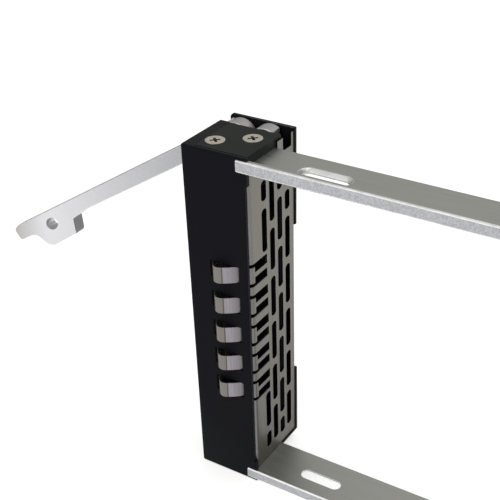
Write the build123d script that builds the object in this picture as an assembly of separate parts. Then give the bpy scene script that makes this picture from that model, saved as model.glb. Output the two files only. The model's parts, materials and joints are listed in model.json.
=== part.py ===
"""Hot-swap carrier for one 3.5-inch drive: a moulded bezel housing with a folded
shield and a swing-out ejector lever, carried on two slotted side rails.

Millimetres. +Z is up, -Y is the front that the user pulls, +Y runs along the rails,
+X is the side with the spring fingers and -X the side with the lever.
The origin is on the lower rail's inner face, midway between its two drive screw slots.
"""
import os
from math import cos, radians, sin

from build123d import *

# Drive and the standard screw pattern on its long edges
drive_width = 101.6
drive_side_gap = 0.2
drive_length = 147.0
screw_pitch = 101.6

# Bezel housing
carrier_width = 25.4
bezel_depth = 20.5
slot_to_near_face = 6.8
shield_to_slot = 19.5
wall = 1.2
front_wall = 2.0
shelf = 2.6
front_strip = 3.6
front_edge_radius = 0.8
top_edge_radius = 0.6
far_corner_radius = 1.2
far_bottom_step = 0.8
near_tab_reach = 0.2
near_tab_height = 3.4
near_wall_setback = 0.6
far_tab_reach = 0.3
far_tab_low_height = 24.4
far_tab_high_height = 30.0
far_tab_setback = 1.5

# End covers over the rail tongues, and the screws that clamp them
cover_thickness = 2.8
cover_setback = 0.6
cover_bevel = 0.3
front_screw_from_near_face = 6.6
front_screw_from_shield = 13.7
rear_screw_from_cover_edge = 6.2
rear_screw_from_shield = 5.6
screw_diameter = 3.0
screw_head_diameter = 5.5
screw_head_depth = 1.65
screw_length = 6.0
recess_width = 0.75
recess_span = 2.9
recess_depth = 1.1
recess_taper = 12
screw_head_gap = 0.2
insert_diameter = 4.4
insert_length = 2.2

# Side rails
rail_to_divider = 1.9
rail_web = 1.5
rail_flange_height = 3.6
rail_flange_thickness = 1.4
rail_proud = 0.2
rail_flange_start = 3.1
rail_bevel = 0.35
rail_end_radius = 3.0
rail_end_margin = 4.0
slot_length = 13.4
slot_width = 3.8
countersink_depth = 0.9
countersink_taper = 45
tongue_inset = 16.6

# Folded shield with spring fingers
pattern_below_centre = 0.5
sheet = 0.5
bend_radius = 1.2
flange_depth = 3.0
perforation_width = 2.2
perforation_bridge = 2.4
perforation_end_margin = 5.1
perforation_short_share = 0.45
perforation_columns = 4
first_column_inset = 8.4
last_column_inset = 4.8
full_rows = 6
vent_columns = 3
vent_shift = 0.75
shield_notch_width = 4.3
shield_notch_depth = 3.8
shield_top_margin = 1.0
finger_count = 5
finger_pitch = 10.0
finger_height = 5.1
finger_root_height = 1.6
finger_comb_gap = 2.85
finger_comb_depth = 8.2
finger_bow = 2.0
finger_apex_inset = 9.8
finger_foot_inset = 13.3
finger_tip_inset = 15.2
finger_rise_inset = 3.2
finger_foot_drop = 2.0
finger_radii = (1.5, 2.2, 1.2)
comb_tab_depth = 1.9
window_length = 9.65
window_height = 5.45
window_rear_inset = 3.35

# Ejector lever, drawn about its pivot with the arm pointing outward
lever_thickness = 4.4
lever_side_gap = 0.55
lever_open_angle = 32.2
pivot_inset = 16.0
pivot_below_top = 5.2
arm_outer = 5.1
lever_past_rails = 7.4
tail_round = 0.45
hub_radius = 5.0
claw_radius = 5.0
claw_place = (9.5, 0.2)
claw_web_top = 1.5
claw_web_bottom = -4.8
pin_diameter = 3.0
pin_bevel = 0.3
lock_hole_offset = 0.6
lock_hole_diameter = 3.0
spring_recess_radius = 3.9
spring_recess_depth = 2.3
spring_wire = 0.6
spring_mean_radius = 2.9
spring_turns = 2.5
washer_thickness = 0.4
washer_radius = 4.4
channel_back_inset = 8.2
channel_back_drop = 16.0
stop_pin_offset = (10.0, -6.35)
pivot_boss_drop = 9.6
pivot_boss_reach = 3.4
pivot_boss_setback = 2.0

# Outline of the lever's tail: distance from the tip, and height over the line through the pivot
tail_outline = [(2.6, arm_outer), (0, 4.2), (0.5, -0.3), (7.1, -0.2), (9.7, -0.8), (12.5, -5.4),
                (15.3, -6.5), (28.6, -5.9), (31.2, -0.9), (37.4, 0)]

# Lock slider behind the front wall
lock_height = 11.7
lock_travel = 3.2
lock_pin_diameter = 2.6
lock_pin_bevel = 0.5
lock_body_length = 7.0
lock_body_height = 6.8
lock_body_depth = 3.8
lock_neck_length = 5.0
lock_neck_height = 4.0
lock_pad_depth = 1.3
lock_pad_ribs = 4
lock_pad_radius = 0.8
lock_rib_margin = 1.0
guide_plate_thickness = 0.5
guide_rib_height = 5.0
guide_screw_diameter = 2.0
guide_screw_length = 4.0
guide_screw_head_diameter = 3.8
guide_screw_head_height = 1.2
guide_screw_head_bevel = 0.4
guide_screw_inset = 2.5

# Clearances
running_clearance = 0.05
fit_clearance = 0.02
assembly_gap = 0.1
sheet_gap = 0.1
screw_clearance = 0.15
sliding_gap = 0.2

# Derived planes
rail_gap = drive_width + 2 * drive_side_gap
mid_z = rail_gap / 2
top_z = rail_gap + rail_web + cover_thickness
base_z = -rail_web - cover_thickness
near_x = slot_to_near_face
far_x = near_x - carrier_width
shield_y = -screw_pitch / 2 - shield_to_slot
front_y = shield_y - bezel_depth
channel_far_x = far_x + wall
channel_near_x = channel_far_x + lever_thickness + 2 * lever_side_gap
divider_x = channel_near_x + wall
inner_near_x = near_x - wall
inner_front_y = front_y + front_wall
strip_rear_y = front_y + front_strip
rail_near_x = near_x + rail_proud
rail_far_x = divider_x + rail_to_divider
rail_front_y = shield_y - tongue_inset
rail_end_y = shield_y + drive_length - rail_end_margin
pivot_y = shield_y - pivot_inset
pivot_z = top_z - pivot_below_top
channel_mid_x = (channel_near_x + channel_far_x) / 2
lever_near_x = channel_mid_x + lever_thickness / 2
lever_far_x = channel_mid_x - lever_thickness / 2
shield_near_x = inner_near_x - sheet_gap
shield_far_x = channel_far_x + sheet_gap
pattern_z = mid_z - pattern_below_centre
finger_zs = [pattern_z + finger_pitch * (i - (finger_count - 1) / 2) for i in range(finger_count)]
perforation_pitch = (rail_gap - 2 * perforation_end_margin + perforation_bridge) / full_rows
perforation_length = perforation_pitch - perforation_bridge
column_pitch = (carrier_width - first_column_inset - last_column_inset) / (perforation_columns - 1)
lever_length = rail_gap + lever_past_rails
lock_y = pivot_y - lock_hole_offset
lock_z = lock_height
lock_hole_reach = pivot_z - lock_z


def span(x0, x1, y0, y1, z0, z1):
    """Box between two corners."""
    return Pos((x0 + x1) / 2, (y0 + y1) / 2, (z0 + z1) / 2) * Box(abs(x1 - x0), abs(y1 - y0), abs(z1 - z0))


def rod_x(radius, x0, x1, y, z):
    """Round bar along X."""
    return Pos((x0 + x1) / 2, y, z) * Rot(0, 90, 0) * Cylinder(radius, abs(x1 - x0))


def rod_y(radius, y0, y1, x, z):
    """Round bar along Y."""
    return Pos(x, (y0 + y1) / 2, z) * Rot(90, 0, 0) * Cylinder(radius, abs(y1 - y0))


def flipped(shape):
    """The same piece at the other end of the carrier."""
    return mirror(shape, about=Plane.XY.offset(mid_z))


def end_screw_places():
    """Top screws in plan, on a diagonal across the rail's tongue."""
    front = (near_x - front_screw_from_near_face, shield_y - front_screw_from_shield)
    rear = (channel_near_x + rear_screw_from_cover_edge, shield_y - rear_screw_from_shield)
    return [front, rear]


def slot_cut(width, length, y, z0, z1):
    """Upright cutter for a rounded slot that runs along the rail."""
    sketch = Rot(0, 0, 90) * SlotOverall(length, width)
    return extrude(Pos(0, y, z0) * sketch, z1 - z0)


def housing_shell():
    """Outer form, cavity, lever channel and the pockets for rails and covers."""
    rear_y = shield_y + far_tab_reach
    shell = span(far_x, near_x, front_y, rear_y, base_z, top_z)
    upright = shell.edges().filter_by(Axis.Z).group_by(Axis.Y)[0]
    shell = fillet(upright, front_edge_radius)
    level = shell.faces().sort_by(Axis.Z)[-1].edges().group_by(Axis.Y)[0]
    shell = fillet(level, top_edge_radius)
    foot = shell.faces().sort_by(Axis.Z)[0].edges().group_by(Axis.Y)[0]
    shell = fillet(foot, top_edge_radius)
    shell -= span(divider_x, inner_near_x, inner_front_y, rear_y, shelf, rail_gap - shelf)
    shell -= span(channel_far_x, channel_near_x, front_y, shield_y - channel_back_inset, base_z, top_z)
    back_top = top_z - channel_back_drop
    back_y = shield_y - channel_back_inset - wall
    shell -= span(channel_far_x, channel_near_x, back_y, rear_y, back_top, top_z)
    behind = shield_y - channel_back_inset + wall
    shell -= span(channel_far_x, channel_near_x, behind, rear_y, far_bottom_step / 2, top_z)
    return shell


def cover_pockets():
    """Space for the upper rail tongue and its cover, open to the rear."""
    rear_y = shield_y + far_tab_reach
    tongue = span(rail_far_x - assembly_gap, inner_near_x, strip_rear_y, rear_y, rail_gap, top_z)
    cover = span(channel_near_x, inner_near_x, strip_rear_y, rear_y, rail_gap + rail_web, top_z)
    return tongue + cover


def rail_notch():
    """Notch in the near wall where the upper rail's flange comes out, its inner corner cut off."""
    y0 = shield_y - rail_flange_start - assembly_gap
    y1 = shield_y + far_tab_reach
    z0 = rail_gap - assembly_gap
    z1 = rail_gap + rail_flange_height + assembly_gap
    corner = assembly_gap
    outline = Polyline((y0, z1), (y0, z0 + corner), (y0 + corner, z0), (y1, z0), (y1, z1), close=True)
    return extrude(Plane.YZ.offset(inner_near_x) * make_face(outline), wall)


def rear_edges():
    """Seat for the shield between the side walls, and wall edges cut back to small tabs."""
    y1 = shield_y + far_tab_reach
    seat_y = shield_y - sheet - sheet_gap
    cuts = span(channel_far_x, inner_near_x, seat_y, y1, 0, top_z)
    near_tab = near_tab_height + assembly_gap
    cuts += span(inner_near_x, near_x, shield_y + near_tab_reach, y1, base_z, top_z)
    cuts += span(inner_near_x, near_x, shield_y - near_wall_setback, y1,
                 near_tab, rail_gap - near_tab)
    cuts += span(far_x, channel_far_x, shield_y - far_tab_setback, y1,
                 far_tab_low_height, top_z - far_tab_high_height)
    return cuts


def finger_windows():
    """One window in the near wall for each spring finger."""
    y1 = shield_y - window_rear_inset
    half = window_height / 2
    return [span(inner_near_x, near_x, y1 - window_length, y1, z - half, z + half) for z in finger_zs]


def front_vents():
    """Upright air slots through the front wall, on the shield's row pitch."""
    cuts = []
    for column in range(vent_columns):
        x = near_x - first_column_inset + column_pitch * (vent_shift - column)
        for row in range(1, full_rows):
            z = pattern_z + perforation_pitch * (row - (full_rows - 1) / 2)
            slot = Rot(0, 0, 90) * SlotOverall(perforation_length, perforation_width)
            cuts.append(extrude(Plane.XZ.offset(-front_y) * (Pos(x, z) * slot), -front_wall))
    return cuts


def make_bezel_housing():
    shell = housing_shell()
    boss_z = pivot_z - pivot_boss_drop
    shell += span(divider_x, rail_far_x - assembly_gap, pivot_y - pivot_boss_reach,
                  shield_y - pivot_boss_setback, boss_z, rail_gap)
    pockets = cover_pockets()
    shell -= pockets
    shell -= flipped(pockets)
    shell -= span(far_x, rail_far_x - sliding_gap, shield_y - channel_back_inset, shield_y + far_tab_reach,
                  base_z, -far_bottom_step)
    notch = rail_notch()
    shell -= [notch, flipped(notch)]
    shell -= rear_edges()
    shell -= finger_windows()
    shell -= front_vents()
    hole = screw_places_cut()
    shell -= [hole, flipped(hole)]
    pin_hole = pin_diameter / 2 + fit_clearance
    shell -= rod_x(pin_hole, far_x, pivot_pin_end_x() + assembly_gap, pivot_y, pivot_z)
    stop_y, stop_z = stop_pin_place()
    shell -= rod_x(pin_hole, far_x, stop_pin_end_x() + assembly_gap, stop_y, stop_z)
    shell -= far_corner()
    shell += lock_screw_boss()
    shell -= lock_cuts()
    shell -= spring_anchor_hole()
    return shell


def far_corner():
    """What the far wall's rounded upper front corner loses."""
    r = far_corner_radius
    square = span(far_x, channel_far_x, front_y, front_y + r, top_z - r, top_z)
    return square - rod_x(r, far_x, channel_far_x, front_y + r, top_z - r)


def pivot_pin_end_x():
    return rail_far_x - 3 * assembly_gap


def stop_pin_end_x():
    return divider_x + wall


def stop_pin_place():
    return pivot_y + stop_pin_offset[0], pivot_z + stop_pin_offset[1]


def screw_places_cut():
    """Holes for the threaded inserts in the upper shelf, with room below for the screw tips."""
    radius = insert_diameter / 2 + fit_clearance
    holes = [Pos(x, y, rail_gap - shelf / 2) * Cylinder(radius, shelf) for x, y in end_screw_places()]
    return holes[0] + holes[1]


def make_end_cover(far_edge_x):
    """Upper end cover with countersunk screw holes."""
    x1 = inner_near_x - running_clearance
    y0 = strip_rear_y + running_clearance
    y1 = shield_y - cover_setback
    z0 = rail_gap + rail_web
    cover = span(far_edge_x, x1, y0, y1, z0, top_z)
    cover = chamfer(cover.faces().sort_by(Axis.Z)[-1].edges().filter_by(Axis.Y), cover_bevel)
    hole_radius = screw_diameter / 2 + screw_clearance
    head_radius = screw_head_diameter / 2 + screw_head_gap
    for x, y in end_screw_places():
        cover -= Pos(x, y, z0) * Cylinder(hole_radius, 4 * cover_thickness)
        cone_height = head_radius - hole_radius
        seat = Pos(x, y, top_z - (screw_head_depth - cone_height) - cone_height / 2)
        cover -= seat * Cone(hole_radius, head_radius, cone_height)
        rim = screw_head_depth - cone_height
        cover -= Pos(x, y, top_z - rim / 2) * Cylinder(head_radius, rim)
    return cover


def make_end_screw(x, y):
    """Countersunk screw with a cross recess, head up and flush with the cover."""
    shank_radius = screw_diameter / 2
    head_radius = screw_head_diameter / 2
    cone_height = head_radius - shank_radius
    rim = screw_head_depth - cone_height
    shank = Pos(x, y, top_z - screw_length / 2) * Cylinder(shank_radius, screw_length)
    tip = shank.faces().sort_by(Axis.Z)[0].edges()
    screw = chamfer(tip, shank_radius / 4)
    screw += Pos(x, y, top_z - rim - cone_height / 2) * Cone(shank_radius, head_radius, cone_height)
    screw += Pos(x, y, top_z - rim / 2) * Cylinder(head_radius, rim)
    for angle in (45, 135):
        bar = Rectangle(recess_span, recess_width)
        cut = extrude(Pos(x, y, top_z) * Rot(0, 0, angle) * bar, -recess_depth, taper=recess_taper)
        screw -= cut
    return screw


def make_inserts():
    """Pair of threaded inserts in the upper shelf."""
    bore = screw_diameter / 2 + running_clearance
    rings = []
    for x, y in end_screw_places():
        place = Pos(x, y, rail_gap - insert_length / 2 - assembly_gap)
        rings.append(place * (Cylinder(insert_diameter / 2, insert_length) - Cylinder(bore, insert_length)))
    return rings[0] + rings[1]


def make_rail():
    """Upper rail: slotted web, a raised outer flange and a tongue that runs under the cover."""
    flange_y = shield_y - rail_flange_start
    rail = span(rail_far_x, inner_near_x - assembly_gap, rail_front_y, rail_end_y,
                rail_gap, rail_gap + rail_web)
    rail += span(rail_far_x, rail_near_x, flange_y, rail_end_y, rail_gap, rail_gap + rail_web)
    rail += span(rail_near_x - rail_flange_thickness, rail_near_x, flange_y, rail_end_y,
                 rail_gap, rail_gap + rail_flange_height)
    outer = rail.faces().filter_by(Axis.X).sort_by(Axis.X)[-1]
    rail = chamfer(outer.edges().filter_by(Axis.Y), rail_bevel)
    far_end = rail.edges().filter_by(Axis.Z).group_by(Axis.Y)[-1].sort_by(Axis.X)[0]
    rail = fillet(far_end, rail_end_radius)
    for y in (-screw_pitch / 2, screw_pitch / 2):
        rail -= slot_cut(slot_width, slot_length, y, rail_gap, rail_gap + rail_web)
        wide = Rot(0, 0, 90) * SlotOverall(slot_length + 2 * countersink_depth,
                                           slot_width + 2 * countersink_depth)
        rail -= extrude(Pos(0, y, rail_gap + rail_web) * wide, -countersink_depth, taper=countersink_taper)
    for x, y in end_screw_places():
        rail -= Pos(x, y, rail_gap + rail_web / 2) * Cylinder(screw_diameter / 2 + screw_clearance, rail_web)
    return rail


def perforation(x, z, length):
    """Cutter for one rounded upright slot in the shield."""
    slot = Rot(0, 0, 90) * SlotOverall(length, perforation_width)
    return extrude(Plane.XZ.offset(-shield_y - 1) * (Pos(x, z) * slot), 2 + sheet)


def perforations():
    """Four staggered columns of slots, short ones filling the ends of each column."""
    cuts = []
    full, short = perforation_length, perforation_length * perforation_short_share
    comb_top = finger_zs[-1] + finger_root_height / 2 + finger_comb_gap
    comb_bottom = finger_zs[0] - finger_root_height / 2 - finger_comb_gap
    for column in range(perforation_columns):
        x = near_x - first_column_inset - column_pitch * column
        staggered = column % 2 == 0
        count = full_rows - 1 if staggered else full_rows
        spread = [perforation_pitch * (row - (count - 1) / 2) for row in range(count)]
        places = [(pattern_z + z, full) for z in spread]
        if staggered:
            end = spread[-1] + (full + short) / 2 + perforation_bridge
            places += [(pattern_z + end, short), (pattern_z - end, short)]
        if column == perforation_columns - 1:
            top = places.pop()
            places.append((top[0] - (full - short) / 2, short))
        for z, length in places:
            clear_of_comb = z - length / 2 > comb_top or z + length / 2 < comb_bottom
            if column > 0 or clear_of_comb:
                cuts.append(perforation(x, z, length))
    return cuts


def finger_strip(z):
    """One spring finger: along the wall, bowed out through its window and back inside."""
    wall_x = shield_near_x - sheet / 2
    path = FilletPolyline(
        (wall_x, shield_y - bend_radius, z),
        (wall_x, shield_y - finger_rise_inset, z),
        (near_x + finger_bow - sheet / 2, shield_y - finger_apex_inset, z),
        (near_x - finger_foot_drop, shield_y - finger_foot_inset, z),
        (near_x - finger_foot_drop, shield_y - finger_tip_inset, z),
        radius=finger_radii)
    section = Plane(origin=path @ 0, x_dir=(0, 0, 1), z_dir=path % 0) * Rectangle(finger_height, sheet)
    return sweep(section, path=path)


def make_emi_shield():
    """Perforated plate, folded along the near wall into a flange and a row of fingers."""
    plate = span(shield_far_x, shield_near_x, shield_y - sheet, shield_y,
                 sheet_gap, top_z - shield_top_margin)
    flange = span(shield_near_x - sheet, shield_near_x, shield_y - flange_depth, shield_y,
                  near_tab_height, rail_gap - near_tab_height - assembly_gap)
    shield = plate + flange
    outer = shield.edges().filter_by(Axis.Z).sort_by(lambda e: -e.center().X - e.center().Y)[0]
    shield = fillet(outer, bend_radius)
    shield -= span(rail_far_x - 2 * sheet_gap, near_x, shield_y - flange_depth, shield_y,
                   rail_gap - sheet_gap, top_z)
    notch_x = channel_far_x + wall + sheet_gap
    shield -= span(notch_x, notch_x + shield_notch_width, shield_y - sheet, shield_y,
                   top_z - shield_top_margin - shield_notch_depth, top_z)
    shield -= perforations()
    shield -= comb_cuts()
    for z in finger_zs:
        shield += finger_strip(z)
    return shield


def comb_cuts():
    """Openings that free the fingers and the short tabs between them."""
    cuts = []
    x0 = near_x - wall - finger_comb_depth
    bar_x = shield_near_x - bend_radius - sheet
    half_root = finger_root_height / 2
    for z in finger_zs:
        for side in (-1, 1):
            z0, z1 = z + side * half_root, z + side * (half_root + finger_comb_gap)
            cuts.append(span(x0, bar_x, shield_y - sheet, shield_y, z0, z1))
            zf = z + side * finger_height / 2
            cuts.append(span(bar_x - sheet, near_x, shield_y - flange_depth, shield_y, zf, z1))
    comb_low = finger_zs[0] - half_root - finger_comb_gap
    comb_high = finger_zs[-1] + half_root + finger_comb_gap
    tab_front = shield_y - comb_tab_depth
    cuts.append(span(shield_near_x - 2 * sheet, near_x, shield_y - flange_depth, tab_front,
                     comb_low, comb_high))
    return cuts


def lever_plane(x):
    """Sketch plane at the pivot, its own X pointing out along the opened arm."""
    a = radians(lever_open_angle)
    return Plane(origin=(x, pivot_y, pivot_z), x_dir=(0, -cos(a), -sin(a)), z_dir=(-1, 0, 0))


def lever_arm_outline():
    """Arm with the widened head, its hook notch and the finger tail."""
    tail = [(lever_length - back, height) for back, height in tail_outline]
    return Polyline((0, arm_outer), *tail, (0, 0), close=True)


def claw_sketch():
    """Round claw behind the hub and the web that joins them, in Y and Z about the pivot."""
    reach, height = claw_place
    web = Pos(reach / 2, (claw_web_top + claw_web_bottom) / 2) * Rectangle(reach, claw_web_top - claw_web_bottom)
    return web + Pos(reach, height) * Circle(claw_radius)


def make_ejector_lever():
    arm_sketch = make_face(lever_arm_outline())
    tail = arm_sketch.vertices().filter_by(lambda v: v.X > hub_radius)
    arm_sketch = fillet(tail, tail_round)
    lever = extrude(lever_plane(lever_near_x) * arm_sketch, lever_thickness)
    lever += rod_x(hub_radius, lever_far_x, lever_near_x, pivot_y, pivot_z)
    side = Plane(origin=(lever_near_x, pivot_y, pivot_z), x_dir=(0, 1, 0), z_dir=(1, 0, 0))
    lever += extrude(side * claw_sketch(), -lever_thickness)
    lever -= rod_x(pin_diameter / 2 + running_clearance, lever_far_x, lever_near_x, pivot_y, pivot_z)
    lever -= rod_x(spring_recess_radius, lever_near_x - spring_recess_depth, lever_near_x, pivot_y, pivot_z)
    hole = Pos(lock_hole_reach, lock_hole_offset) * Circle(lock_hole_diameter / 2)
    lever -= extrude(lever_plane(lever_near_x) * hole, lever_thickness)
    return lever


def make_pivot_pin():
    pin = rod_x(pin_diameter / 2, far_x + assembly_gap, pivot_pin_end_x(), pivot_y, pivot_z)
    return chamfer(pin.edges().filter_by(GeomType.CIRCLE), pin_bevel)


def make_stop_pin():
    y, z = stop_pin_place()
    pin = rod_x(pin_diameter / 2, far_x + assembly_gap, stop_pin_end_x(), y, z)
    return chamfer(pin.edges().filter_by(GeomType.CIRCLE), pin_bevel)


def make_lever_washer():
    x0 = lever_far_x - running_clearance - washer_thickness
    ring = rod_x(washer_radius, x0, x0 + washer_thickness, pivot_y, pivot_z)
    return ring - rod_x(pin_diameter / 2 + running_clearance, x0, x0 + washer_thickness, pivot_y, pivot_z)


def spring_anchor():
    """Where the spring's fixed leg enters the divider wall."""
    return pivot_y, pivot_z - spring_mean_radius


def spring_anchor_hole():
    y, z = spring_anchor()
    return rod_x(spring_wire / 2 + running_clearance, channel_near_x, divider_x + wall, y, z)


def make_return_spring():
    """Torsion spring of square wire coiled in the lever's recess, one leg held by the divider wall."""
    pitch = spring_wire + fit_clearance
    height = pitch * spring_turns
    start_x = lever_near_x - spring_recess_depth + running_clearance + spring_wire
    coil_plane = Plane(origin=(start_x, pivot_y, pivot_z), x_dir=(0, 0, 1), z_dir=(1, 0, 0))
    coil_path = coil_plane * Helix(pitch=pitch, height=height, radius=spring_mean_radius)
    across = Plane(origin=coil_path @ 0, x_dir=(0, 0, 1), z_dir=coil_path % 0)
    coil = sweep(across * Rectangle(spring_wire, spring_wire), path=coil_path, is_frenet=True)
    y, z = spring_anchor()
    half = spring_wire / 2
    fixed_leg = rod_x(half, (coil_path @ 1).X, divider_x - assembly_gap, y, z)
    start = coil_path @ 0
    reach = spring_recess_radius - spring_mean_radius - running_clearance
    free_leg = span(start.X - half, start.X + half, start.Y - half, start.Y + half, start.Z, start.Z + reach)
    return coil + fixed_leg + free_leg


def lock_body_span():
    """Lock carriage at rest: just clear of the divider by its travel."""
    x0 = divider_x + lock_travel + sliding_gap
    return x0, x0 + lock_body_length


def lock_screw_boss():
    """Rib above the lock that the guide plate is screwed to."""
    x0, _ = lock_body_span()
    z0 = lock_z + lock_body_height / 2 + sliding_gap
    y1 = inner_front_y + lock_body_depth + sliding_gap
    return span(divider_x, x0 + lock_body_length, inner_front_y, y1, z0, z0 + guide_rib_height)


def guide_screw_places():
    x1 = lock_body_span()[1]
    z = lock_z + lock_body_height / 2 + sliding_gap + guide_rib_height / 2
    return [(divider_x + guide_screw_inset, z), (x1 - guide_screw_diameter, z)]


def lock_cuts():
    """Neck slot in the front wall, the pin's way through the divider and the screw holes."""
    x0, x1 = lock_body_span()
    inset = (lock_body_length - lock_neck_length) / 2
    half = lock_neck_height / 2 + sliding_gap
    neck = span(x0 + inset - lock_travel - sliding_gap, x1 - inset + sliding_gap,
                front_y, inner_front_y, lock_z - half, lock_z + half)
    pin = rod_x(lock_pin_diameter / 2 + sliding_gap, channel_near_x, divider_x, lock_y, lock_z)
    cuts = [neck, pin]
    y1 = inner_front_y + lock_body_depth + sliding_gap
    for x, z in guide_screw_places():
        cuts.append(rod_y(guide_screw_diameter / 2 + fit_clearance, inner_front_y, y1, x, z))
    return cuts


def make_lock_slider():
    """Sliding lock: carriage and pin inside, a ribbed thumb pad outside."""
    x0, x1 = lock_body_span()
    half = lock_body_height / 2
    y0 = inner_front_y + running_clearance
    body = span(x0, x1, y0, y0 + lock_body_depth, lock_z - half, lock_z + half)
    inset = (lock_body_length - lock_neck_length) / 2
    neck_half = lock_neck_height / 2
    body += span(x0 + inset, x1 - inset, front_y - running_clearance, y0,
                 lock_z - neck_half, lock_z + neck_half)
    pad_y = front_y - running_clearance
    pad = span(x0, x1, pad_y - lock_pad_depth, pad_y, lock_z - half, lock_z + half)
    pad = fillet(pad.edges().filter_by(Axis.Y), lock_pad_radius)
    groove = lock_body_length / (2 * lock_pad_ribs + 1)
    for i in range(lock_pad_ribs):
        x = x0 + groove * (2 * i + 1.5)
        pad -= span(x - groove / 2, x + groove / 2, pad_y - lock_pad_depth, pad_y - lock_pad_depth / 2,
                    lock_z - half + lock_rib_margin, lock_z + half - lock_rib_margin)
    body += pad
    pin = rod_x(lock_pin_diameter / 2, channel_near_x + assembly_gap, x0, lock_y, lock_z)
    tip = pin.edges().filter_by(GeomType.CIRCLE).sort_by(Axis.X)[0]
    return body + chamfer(tip, lock_pin_bevel)


def make_guide_plate():
    """Sheet that holds the lock against the front wall, with a shallow pressing rib."""
    x0, x1 = lock_body_span()
    y0 = inner_front_y + lock_body_depth + sliding_gap
    z1 = lock_z + lock_body_height / 2 + sliding_gap + guide_rib_height
    plate = span(divider_x + assembly_gap, x1, y0, y0 + guide_plate_thickness, shelf + assembly_gap, z1)
    for x, z in guide_screw_places():
        plate -= rod_y(guide_screw_diameter / 2 + screw_clearance, y0, y0 + guide_plate_thickness, x, z)
    return plate


def make_guide_screws():
    """Two small pan-head screws through the guide plate."""
    y0 = inner_front_y + lock_body_depth + sliding_gap + guide_plate_thickness
    screws = []
    for x, z in guide_screw_places():
        screw = rod_y(guide_screw_diameter / 2, y0 - guide_screw_length, y0, x, z)
        head = rod_y(guide_screw_head_diameter / 2, y0, y0 + guide_screw_head_height, x, z)
        head = chamfer(head.edges().sort_by(Axis.Y)[-1], guide_screw_head_bevel)
        screws.append(screw + head)
    return screws[0] + screws[1]


def build_nodes():
    """Every separate piece of the carrier, by node name."""
    cover = make_end_cover(channel_near_x + running_clearance)
    low_cover = flipped(make_end_cover(rail_far_x))
    rail = make_rail()
    inserts = make_inserts()
    front, rear = [make_end_screw(x, y) for x, y in end_screw_places()]
    return {
        "bezel_housing": make_bezel_housing(),
        "top_end_cover": cover,
        "bottom_end_cover": low_cover,
        "top_rail": rail,
        "bottom_rail": flipped(rail),
        "emi_shield": make_emi_shield(),
        "top_screw_front": front,
        "top_screw_rear": rear,
        "bottom_screw_front": flipped(front),
        "bottom_screw_rear": flipped(rear),
        "top_inserts": inserts,
        "bottom_inserts": flipped(inserts),
        "ejector_lever": make_ejector_lever(),
        "lever_pivot_pin": make_pivot_pin(),
        "lever_stop_pin": make_stop_pin(),
        "lever_washer": make_lever_washer(),
        "lever_return_spring": make_return_spring(),
        "lock_slider": make_lock_slider(),
        "lock_guide_plate": make_guide_plate(),
        "lock_guide_screws": make_guide_screws(),
    }


def write_parts():
    os.makedirs("parts", exist_ok=True)
    for name, shape in build_nodes().items():
        export_step(shape, f"parts/{name}.step")
        print(name, round(shape.volume, 1))


write_parts()
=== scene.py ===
"""Finish, stage and camera for the hot-swap drive carrier.

Laid out as an add-on: each operator dresses one group of pieces, and main() runs them in order.
Metres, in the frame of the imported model: +Z up, -Y the front, +X the side with the spring fingers.
"""
import json
from math import cos, pi, radians, sin

import bmesh
import bpy
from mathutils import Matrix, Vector


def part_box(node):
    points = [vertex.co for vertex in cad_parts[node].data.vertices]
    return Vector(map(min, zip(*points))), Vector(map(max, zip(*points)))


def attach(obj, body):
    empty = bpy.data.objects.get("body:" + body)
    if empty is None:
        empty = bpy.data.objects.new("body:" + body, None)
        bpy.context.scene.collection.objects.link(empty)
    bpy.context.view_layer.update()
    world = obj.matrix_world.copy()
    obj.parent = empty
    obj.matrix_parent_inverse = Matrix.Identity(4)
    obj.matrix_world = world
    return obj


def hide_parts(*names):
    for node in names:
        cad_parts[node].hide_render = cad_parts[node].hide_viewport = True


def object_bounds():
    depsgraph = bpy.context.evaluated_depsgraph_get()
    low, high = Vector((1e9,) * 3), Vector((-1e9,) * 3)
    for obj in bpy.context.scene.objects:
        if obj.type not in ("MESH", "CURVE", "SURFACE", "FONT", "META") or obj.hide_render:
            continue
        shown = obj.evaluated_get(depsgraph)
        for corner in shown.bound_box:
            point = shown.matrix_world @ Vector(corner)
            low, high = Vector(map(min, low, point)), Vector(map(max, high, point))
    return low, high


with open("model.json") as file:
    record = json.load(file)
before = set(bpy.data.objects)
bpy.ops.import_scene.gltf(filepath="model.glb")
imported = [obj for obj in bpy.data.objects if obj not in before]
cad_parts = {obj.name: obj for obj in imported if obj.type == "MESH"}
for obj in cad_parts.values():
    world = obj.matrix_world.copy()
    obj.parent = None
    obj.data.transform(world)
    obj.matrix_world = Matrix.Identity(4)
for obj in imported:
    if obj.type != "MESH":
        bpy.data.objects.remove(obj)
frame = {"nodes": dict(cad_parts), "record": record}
cad_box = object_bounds()

bl_info = {
    "name": "Hot-swap drive carrier",
    "version": (1, 0, 0),
    "blender": (4, 5, 0),
    "location": "3D View > Sidebar > Drive carrier",
    "description": "Finishes the pieces of a hot-swap drive carrier and sets its stage",
    "category": "Object",
}


# Limits by which faces, edges and corners are told apart: lengths, angles, and shares of a unit normal

SAME_PLACE = 1e-6
LEVEL = 0.0002
FLANGE_DEPTH = 0.0033
PLATE_DEPTH = 0.0006
PLATE_SIDE = 0.0035
RECESS_TOP, RECESS_FLOOR = 0.0001, 0.0013
RECESS_REACH = 0.0014
FLAT_ANGLE = radians(0.5)
SHARP_ANGLE = radians(30)
CRISP_ANGLE = radians(32)
TAIL_ANGLE = radians(12)
SQUARE_ON = 0.95
CROSSWISE = 0.9
OUTWARD = 0.6
SLANTED = 0.5
LOOKS_BACK = -0.35
EDGE_ON = 0.2
REARWARD = 0.2
SIDEWAYS = Vector((1.0, 0.0, 0.0))


# Sizes and colours

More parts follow.
